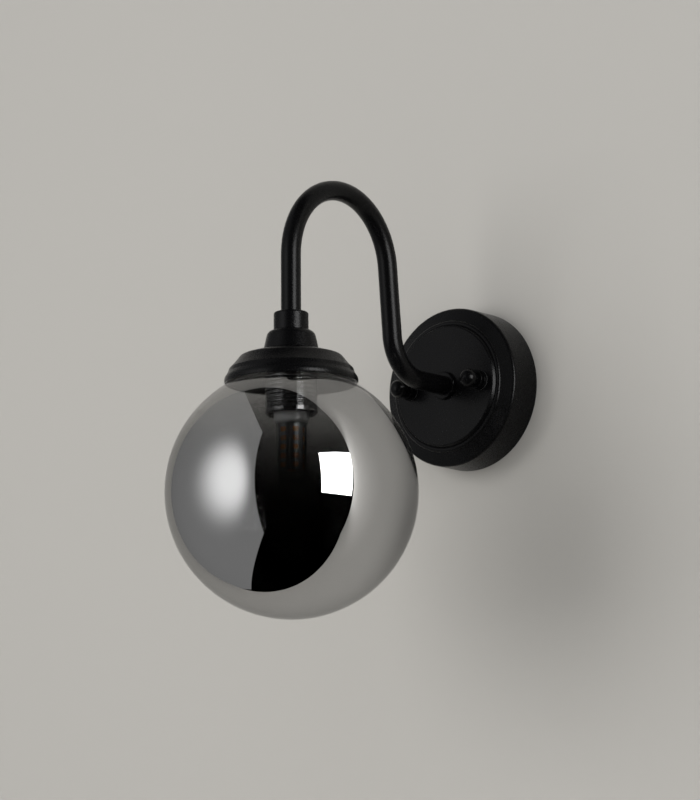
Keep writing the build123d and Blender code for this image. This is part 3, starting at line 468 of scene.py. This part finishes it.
def threadTree(shape):
    tree = bpy.data.node_groups.new("cutThread", "GeometryNodeTree")
    face = tree.interface
    face.new_socket("Core", in_out="INPUT", socket_type="NodeSocketGeometry")
    for name, kind in (("Radius", "Float"), ("Ridge", "Float"), ("Pitch", "Float"), ("Length", "Float"),
                       ("Rise", "Float"), ("Place", "Vector"), ("Tilt", "Vector"), ("Copies", "Int"),
                       ("Step", "Vector"), ("Material", "Material")):
        face.new_socket(name, in_out="INPUT", socket_type="NodeSocket" + kind)
    face.new_socket("Geometry", in_out="OUTPUT", socket_type="NodeSocketGeometry")
    given = addNode(tree, "NodeGroupInput").outputs
    result = addNode(tree, "NodeGroupOutput")

    def calculate(operation, *values):
        node = addNode(tree, "ShaderNodeMath", operation=operation)
        for place, value in enumerate(values):
            if isinstance(value, (int, float)):
                node.inputs[place].default_value = value
            else:
                tree.links.new(value, node.inputs[place])
        return node.outputs["Value"]

    turns = calculate("DIVIDE", given["Length"], given["Pitch"])
    line = addNode(tree, "GeometryNodeCurvePrimitiveLine")
    points = addNode(tree, "GeometryNodeResampleCurve")
    tree.links.new(line.outputs["Curve"], points.inputs["Curve"])
    tree.links.new(calculate("MULTIPLY", turns, shape["pointsPerTurn"]), points.inputs["Count"])
    along = addNode(tree, "GeometryNodeSplineParameter").outputs["Factor"]
    angle = calculate("MULTIPLY", calculate("MULTIPLY", along, turns), 2 * math.pi)
    runs = calculate("MULTIPLY", turns, shape["runsPerTurn"])
    runIn = calculate("MINIMUM", calculate("MULTIPLY", along, runs), 1.0)
    runOut = calculate("MULTIPLY", calculate("SUBTRACT", 1.0, along), runs)
    full = calculate("MULTIPLY", runIn, calculate("MINIMUM", runOut, 1.0))
    sunk = calculate("MULTIPLY", calculate("SUBTRACT", 1.0, full), given["Ridge"])
    radius = calculate("SUBTRACT", given["Radius"], sunk)
    helix = addNode(tree, "ShaderNodeCombineXYZ")
    tree.links.new(calculate("MULTIPLY", radius, calculate("COSINE", angle)), helix.inputs["X"])
    tree.links.new(calculate("MULTIPLY", radius, calculate("SINE", angle)), helix.inputs["Y"])
    tree.links.new(calculate("MULTIPLY_ADD", along, given["Length"], given["Rise"]), helix.inputs["Z"])
    bent = addNode(tree, "GeometryNodeSetPosition")
    tree.links.new(points.outputs["Curve"], bent.inputs["Geometry"])
    tree.links.new(helix.outputs["Vector"], bent.inputs["Position"])
    level = addNode(tree, "GeometryNodeSetCurveNormal", mode="Z_UP")
    tree.links.new(bent.outputs["Geometry"], level.inputs["Curve"])
    section = addNode(tree, "GeometryNodeCurvePrimitiveCircle")
    section.inputs["Resolution"].default_value = shape["sides"]
    tree.links.new(given["Ridge"], section.inputs["Radius"])
    ridge = addNode(tree, "GeometryNodeCurveToMesh")
    ridge.inputs["Fill Caps"].default_value = True
    tree.links.new(level.outputs["Curve"], ridge.inputs["Curve"])
    tree.links.new(section.outputs["Curve"], ridge.inputs["Profile Curve"])
    whole = addNode(tree, "GeometryNodeJoinGeometry")
    tree.links.new(ridge.outputs["Mesh"], whole.inputs["Geometry"])
    tree.links.new(given["Core"], whole.inputs["Geometry"])
    turned = addNode(tree, "GeometryNodeTransform")
    tree.links.new(whole.outputs["Geometry"], turned.inputs["Geometry"])
    tree.links.new(given["Tilt"], turned.inputs["Rotation"])
    places = addNode(tree, "GeometryNodeMeshLine", mode="OFFSET")
    tree.links.new(given["Copies"], places.inputs["Count"])
    tree.links.new(given["Place"], places.inputs["Start Location"])
    tree.links.new(given["Step"], places.inputs["Offset"])
    copies = addNode(tree, "GeometryNodeInstanceOnPoints")
    tree.links.new(places.outputs["Mesh"], copies.inputs["Points"])
    tree.links.new(turned.outputs["Geometry"], copies.inputs["Instance"])
    realised = addNode(tree, "GeometryNodeRealizeInstances")
    tree.links.new(copies.outputs["Instances"], realised.inputs["Geometry"])
    painted = addNode(tree, "GeometryNodeSetMaterial")
    tree.links.new(realised.outputs["Geometry"], painted.inputs["Geometry"])
    tree.links.new(given["Material"], painted.inputs["Material"])
    tree.links.new(painted.outputs["Geometry"], result.inputs["Geometry"])
    return tree


cutThread = threadTree(threadShape)


def turnedCore(profile, around=48):
    # profile runs round a closed section, (radius, height) in metres; radius 0 closes on the axis
    if not profile:
        return [], []
    vertices, rings, faces = [], [], []
    for radius, height in profile:
        if radius == 0:
            rings.append([len(vertices)])
            vertices.append((0, 0, height))
        else:
            rings.append(list(range(len(vertices), len(vertices) + around)))
            angles = [2 * math.pi * step / around for step in range(around)]
            vertices += [(radius * math.cos(a), radius * math.sin(a), height) for a in angles]
    pairs = list(zip(rings, rings[1:])) + ([(rings[-1], rings[0])] if profile[0][0] > 0 else [])
    for first, second in pairs:
        for step in range(around):
            ahead = (step + 1) % around
            if len(first) == 1:
                faces.append((first[0], second[ahead], second[step]))
            elif len(second) == 1:
                faces.append((first[step], first[ahead], second[0]))
            else:
                faces.append((first[step], first[ahead], second[ahead], second[step]))
    return vertices, faces


def threadedPiece(name, look):
    core = meshObject(name + "Core", *turnedCore(look["profile"]), finishes[look["finish"]], smooth=False)
    modifier = core.modifiers.new("thread", "NODES")
    modifier.node_group = cutThread
    values = {
        "Radius": look["radius"], "Ridge": look["ridge"], "Pitch": look["pitch"], "Length": look["length"],
        "Rise": look["rise"], "Place": look["place"], "Tilt": look.get("tilt", (0, 0, 0)),
        "Copies": look.get("copies", 1), "Step": look.get("step", (0, 0, 0)),
        "Material": finishes[look["finish"]],
    }
    for item in cutThread.interface.items_tree:
        if item.in_out == "INPUT" and item.name in values:
            modifier[item.identifier] = values[item.name]
    evaluated = core.evaluated_get(bpy.context.evaluated_depsgraph_get())
    mesh = bpy.data.meshes.new_from_object(evaluated)
    mesh.name = name
    piece = bpy.data.objects.new(name, mesh)
    scene.collection.objects.link(piece)
    bpy.data.objects.remove(core, do_unlink=True)
    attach(piece, look["body"])
    if look.get("replaces"):
        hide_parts(look["replaces"])
    print("thread cut:", name, len(mesh.polygons), "faces")


studLow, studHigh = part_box("canopy_studs")
armLow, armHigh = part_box("arm_nipple")
dropLow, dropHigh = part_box("gallery_nipple")
studLong = studHigh[1] - studLow[1]
armLong = armHigh[1] - armLow[1]
dropLong = dropHigh[2] - dropLow[2]
layDown = (math.pi / 2, 0, 0)       # turns the piece's own +Z to -Y, out of the wall

studShape = {
    "head": 0.0038, "headBevel": 0.0002, "sideHigh": 0.0019, "headTop": 0.0035, "headHigh": 0.0022,
    "core": 0.00168, "point": 0.0013, "pointLong": 0.0004,
    "threadFrom": 0.0032, "threadShort": 0.0040,      # from the head, and shorter than the whole stud
}


def studProfile(shape, length):
    return [(0, 0), (shape["head"] - shape["headBevel"], 0), (shape["head"], shape["headBevel"]),
            (shape["head"], shape["sideHigh"]), (shape["headTop"], shape["headHigh"]),
            (shape["core"], shape["headHigh"]), (shape["core"], length - shape["pointLong"]),
            (shape["point"], length), (0, length)]


studLook = {
    "profile": studProfile(studShape, studLong),
    "radius": studShape["core"], "ridge": 0.00032, "pitch": 0.0007,
    "length": studLong - studShape["threadShort"], "rise": studShape["threadFrom"],
    "tilt": layDown, "place": (studLow[0] + studShape["head"], studHigh[1], (studLow[2] + studHigh[2]) / 2),
    "copies": 2, "step": (studHigh[0] - studLow[0] - 2 * studShape["head"], 0, 0),
    "finish": "zinc_steel", "body": "wall_frame", "replaces": "canopy_studs",
}

nippleShape = {"core": 0.0046, "bore": 0.0038, "bevel": 0.0004, "plain": 0.0011}


def nippleProfile(shape, length):
    outer, bore, bevel = shape["core"], shape["bore"], shape["bevel"]
    return [(outer - bevel, 0), (outer, bevel), (outer, length - bevel),
            (outer - bevel, length), (bore, length), (bore, 0)]


nippleLook = {
    "radius": nippleShape["core"], "ridge": 0.0004, "pitch": 0.0010, "rise": nippleShape["plain"],
    "finish": "zinc_steel", "body": "wall_frame",
}
armNippleLook = dict(
    nippleLook, profile=nippleProfile(nippleShape, armLong), length=armLong - 2 * nippleShape["plain"],
    tilt=layDown, place=(0, armHigh[1], (armLow[2] + armHigh[2]) / 2), replaces="arm_nipple",
)
dropNippleLook = dict(
    nippleLook, profile=nippleProfile(nippleShape, dropLong), length=dropLong - 2 * nippleShape["plain"],
    place=(0, globeY, dropLow[2]), replaces="gallery_nipple",
)
# the carrier's thread lies in the grooves of the glass neck
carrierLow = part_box("shade_carrier")[0]
lead = globeLook["threadLead"]
carrierEdge = 0.0012                # plain end of the carrier below its thread
firstGroove = math.ceil((carrierLow[2] + carrierEdge - globeZ) / lead)
carrierThreadLook = {
    "profile": [], "radius": 0.0129, "ridge": 0.00042, "pitch": lead, "length": 0.0175, "rise": 0.0,
    "place": (0, globeY, globeZ + lead * firstGroove),
    "finish": "carrier_aluminium", "body": "wall_frame",
}
for pieceName, pieceLook in (("canopyStuds", studLook), ("armNipple", armNippleLook),
                             ("galleryNipple", dropNippleLook), ("carrierThread", carrierThreadLook)):
    threadedPiece(pieceName, pieceLook)


# ---- wall and floor
roomLook = {
    "wallColour": (0.47, 0.455, 0.425), "wallRoughness": 0.9,
    "wallLeft": 3.0, "wallRight": 1.54, "floorDrop": 1.3,
    "windowSide": 0.30, "spillLength": 1.3,        # x from which the wall's painted window glow grows, and over what length
    "windowSpill": 0.62,                           # by how much a metre
    "windowRise": 0.25,                            # height of the window's middle above the globe's
    "spillFull": 0.45, "spillEnd": 0.95,           # distances in height from there between which it fades
    "spillColour": (1, 0.98, 0.95),
    "floorColour": (0.62, 0.61, 0.59), "floorRoughness": 0.8,
}


def stagePlane(name, corners, material):
    plane = meshObject(name, corners, [tuple(range(len(corners)))], material, smooth=False)
    return plane


def clearWhere(tree, shader, hidden):
    clear = addNode(tree, "ShaderNodeBsdfTransparent")
    mix = addNode(tree, "ShaderNodeMixShader")
    tree.links.new(hidden, mix.inputs["Fac"])
    tree.links.new(shader.outputs["BSDF"], mix.inputs[1])
    tree.links.new(clear.outputs["BSDF"], mix.inputs[2])
    tree.links.new(mix.outputs["Shader"], tree.nodes["Material Output"].inputs["Surface"])


def wallPaint(look):
    # painted window glow: the wall emits light towards the window, seen only by glossy rays, as a painted
    # reflection of the window's spill; from behind, and for shadows, the wall isn't there
    material, tree, shader = newMaterial("wallPaint")
    shader.inputs["Base Color"].default_value = (*look["wallColour"], 1)
    shader.inputs["Roughness"].default_value = look["wallRoughness"]
    shader.inputs["Specular IOR Level"].default_value = 0.0
    shader.inputs["Emission Color"].default_value = (*look["spillColour"], 1)
    geometry = addNode(tree, "ShaderNodeNewGeometry")
    rays = addNode(tree, "ShaderNodeLightPath")
    coordinates = addNode(tree, "ShaderNodeTexCoord")
    split = addNode(tree, "ShaderNodeSeparateXYZ")
    # painted window glow on the wall, growing along x towards the window and fading above and below the
    # window's height
    spill = addNode(tree, "ShaderNodeMapRange")
    spill.inputs["From Min"].default_value = look["windowSide"]
    spill.inputs["From Max"].default_value = look["windowSide"] + look["spillLength"]
    spill.inputs["To Max"].default_value = look["windowSpill"] * look["spillLength"]
    above = addNode(tree, "ShaderNodeMath", operation="SUBTRACT")
    above.inputs[1].default_value = globeZ + look["windowRise"]
    away = addNode(tree, "ShaderNodeMath", operation="ABSOLUTE")
    fade = addNode(tree, "ShaderNodeMapRange", interpolation_type="SMOOTHSTEP")
    fade.inputs["From Min"].default_value = look["spillFull"]
    fade.inputs["From Max"].default_value = look["spillEnd"]
    fade.inputs["To Min"].default_value = 1.0
    fade.inputs["To Max"].default_value = 0.0
    local = addNode(tree, "ShaderNodeMath", operation="MULTIPLY")
    mirrored = addNode(tree, "ShaderNodeMath", operation="MULTIPLY")
    either = addNode(tree, "ShaderNodeMath", operation="MAXIMUM")
    tree.links.new(coordinates.outputs["Object"], split.inputs["Vector"])
    tree.links.new(split.outputs["X"], spill.inputs["Value"])
    tree.links.new(split.outputs["Z"], above.inputs[0])
    tree.links.new(above.outputs["Value"], away.inputs[0])
    tree.links.new(away.outputs["Value"], fade.inputs["Value"])
    tree.links.new(spill.outputs["Result"], local.inputs[0])
    tree.links.new(fade.outputs["Result"], local.inputs[1])
    tree.links.new(local.outputs["Value"], mirrored.inputs[0])
    tree.links.new(rays.outputs["Is Glossy Ray"], mirrored.inputs[1])
    tree.links.new(mirrored.outputs["Value"], shader.inputs["Emission Strength"])
    tree.links.new(geometry.outputs["Backfacing"], either.inputs[0])
    tree.links.new(rays.outputs["Is Shadow Ray"], either.inputs[1])
    clearWhere(tree, shader, either.outputs["Value"])
    return material


def floorPaint(look):
    material, tree, shader = newMaterial("floorPaint")
    shader.inputs["Base Color"].default_value = (*look["floorColour"], 1)
    shader.inputs["Roughness"].default_value = look["floorRoughness"]
    geometry = addNode(tree, "ShaderNodeNewGeometry")
    clearWhere(tree, shader, geometry.outputs["Backfacing"])
    return material


left, right, drop = roomLook["wallLeft"], roomLook["wallRight"], roomLook["floorDrop"]
wallCorners = [(-left, 0, -drop), (right, 0, -drop), (right, 0, left), (-left, 0, left)]
floorCorners = [(-left, -2 * left, -drop), (left, -2 * left, -drop), (left, 0, -drop), (-left, 0, -drop)]
stagePlane("wall", wallCorners, wallPaint(roomLook))
floor = stagePlane("floor", floorCorners, floorPaint(roomLook))
floor.visible_glossy = False


# ---- lights, and what the glass mirrors: directions as in photoView, distances and sizes in metres
globeCentre = Vector((0, globeY, globeZ))
partOrigin = Vector((0, 0, 0))
windowLook = {"from": (81, 9), "away": 1.6, "size": (0.83, 1.0), "power": 5.0, "glow": 9.0}
keyLook = {"from": (-20, 7), "away": 2.1, "size": (1.3, 1.3), "power": 21.0}
leftLook = {"from": (-60, 5), "away": 2.2, "size": (1.8, 1.8), "power": 33.0}
rearLook = {"place": (-0.5, 1.6, 0.9), "size": (1.4, 1.4), "power": 18.0}
panelLook = {
    "wallFrom": (-100, 0), "wallAway": 1.5,         # its edge at the wall, as seen from the globe
    "frontFrom": (3.5, 0), "frontAway": 2.0, "stretch": 1.12, "halfHeight": 2.2,
    "glowPlace": (-0.340, -1.345, 0.150), "glowRadius": 0.68, "glowFall": 3.2,
    "base": 0.28, "peak": 1.26,
}
worldLook = {"colour": (0.92, 0.93, 0.95), "ambient": 0.72, "seen": 0.8}


def directionFrom(azimuth, elevation):
    a, e = math.radians(azimuth), math.radians(elevation)
    return Vector((math.sin(a) * math.cos(e), -math.cos(a) * math.cos(e), math.sin(e)))


def areaLight(name, place, aim, look, seenInGlass=False):
    data = bpy.data.lights.new(name, "AREA")
    data.shape = "RECTANGLE"
    data.size, data.size_y = look["size"]
    data.energy = look["power"]
    lamp = bpy.data.objects.new(name, data)
    turn = (aim - place).to_track_quat("-Z", "Y").to_matrix().to_4x4()
    lamp.matrix_world = Matrix.Translation(place) @ turn
    lamp.visible_camera = False
    lamp.visible_glossy = seenInGlass
    scene.collection.objects.link(lamp)


def makeSoftPanel(look):
    # a tall screen on the left of the room, brightest round one place
    nearWall = globeCentre + directionFrom(*look["wallFrom"]) * look["wallAway"]
    ahead = globeCentre + directionFrom(*look["frontFrom"]) * look["frontAway"]
    inFront = nearWall + (ahead - nearWall) * look["stretch"]
    height = look["halfHeight"]
    material, tree, shader = newMaterial("softPanel")
    tree.nodes.remove(shader)
    coordinates = addNode(tree, "ShaderNodeTexCoord")
    distance = addNode(tree, "ShaderNodeVectorMath", operation="DISTANCE")
    distance.inputs[1].default_value = globeCentre + Vector(look["glowPlace"])
    scaled = addNode(tree, "ShaderNodeMath", operation="DIVIDE")
    scaled.inputs[1].default_value = look["glowRadius"]
    raised = addNode(tree, "ShaderNodeMath", operation="POWER")
    raised.inputs[1].default_value = look["glowFall"]
    turned = addNode(tree, "ShaderNodeMath", operation="MULTIPLY")
    turned.inputs[1].default_value = -1.0
    fall = addNode(tree, "ShaderNodeMath", operation="EXPONENT")
    level = addNode(tree, "ShaderNodeMath", operation="MULTIPLY_ADD")
    level.inputs[1].default_value = look["peak"]
    level.inputs[2].default_value = look["base"]
    emission = addNode(tree, "ShaderNodeEmission")
    tree.links.new(coordinates.outputs["Object"], distance.inputs[0])
    tree.links.new(distance.outputs["Value"], scaled.inputs[0])
    tree.links.new(scaled.outputs["Value"], raised.inputs[0])
    tree.links.new(raised.outputs["Value"], turned.inputs[0])
    tree.links.new(turned.outputs["Value"], fall.inputs[0])
    tree.links.new(fall.outputs["Value"], level.inputs[0])
    tree.links.new(level.outputs["Value"], emission.inputs["Strength"])
    tree.links.new(emission.outputs["Emission"], tree.nodes["Material Output"].inputs["Surface"])
    corners = [(nearWall.x, nearWall.y, -height), (inFront.x, inFront.y, -height),
               (inFront.x, inFront.y, height), (nearWall.x, nearWall.y, height)]
    panel = stagePlane("softPanel", corners, material)
    panel.visible_camera = False
    panel.visible_shadow = False


def makeWindowPane(place, aim, look):
    # the bright window at the side, seen only where something mirrors it
    material, tree, shader = newMaterial("windowPane")
    tree.nodes.remove(shader)
    emission = addNode(tree, "ShaderNodeEmission")
    emission.inputs["Strength"].default_value = look["glow"]
    tree.links.new(emission.outputs["Emission"], tree.nodes["Material Output"].inputs["Surface"])
    turn = (aim - place).to_track_quat("-Z", "Y").to_matrix()
    halfWide, halfTall = look["size"][0] / 2, look["size"][1] / 2
    corners = [place + turn @ Vector((x * halfWide, y * halfTall, 0))
               for x, y in ((-1, -1), (1, -1), (1, 1), (-1, 1))]
    pane = stagePlane("windowPane", [tuple(corner) for corner in corners], material)
    pane.visible_camera = False
    pane.visible_diffuse = False
    pane.visible_shadow = False


makeSoftPanel(panelLook)
windowPlace = globeCentre + directionFrom(*windowLook["from"]) * windowLook["away"]
areaLight("sideWindow", windowPlace, globeCentre, windowLook)
makeWindowPane(windowPlace, globeCentre, windowLook)
areaLight("keyLight", directionFrom(*keyLook["from"]) * keyLook["away"], partOrigin, keyLook)
areaLight("leftLight", directionFrom(*leftLook["from"]) * leftLook["away"], partOrigin, leftLook)
areaLight("rearLight", Vector(rearLook["place"]), partOrigin, rearLook, seenInGlass=True)


def makeWorld(look):
    world = bpy.data.worlds.new("room")
    scene.world = world
    world.use_nodes = True
    tree = world.node_tree
    background = tree.nodes["Background"]
    background.inputs["Color"].default_value = (*look["colour"], 1)
    rays = addNode(tree, "ShaderNodeLightPath")
    shown = addNode(tree, "ShaderNodeMapRange")
    shown.inputs["To Min"].default_value = look["ambient"]
    shown.inputs["To Max"].default_value = look["seen"]
    dim = addNode(tree, "ShaderNodeMath", operation="SUBTRACT", use_clamp=True)
    tree.links.new(rays.outputs["Is Camera Ray"], shown.inputs["Value"])
    tree.links.new(shown.outputs["Result"], dim.inputs[0])
    tree.links.new(rays.outputs["Is Glossy Ray"], dim.inputs[1])
    tree.links.new(dim.outputs["Value"], background.inputs["Strength"])


makeWorld(worldLook)
print("room and light set")
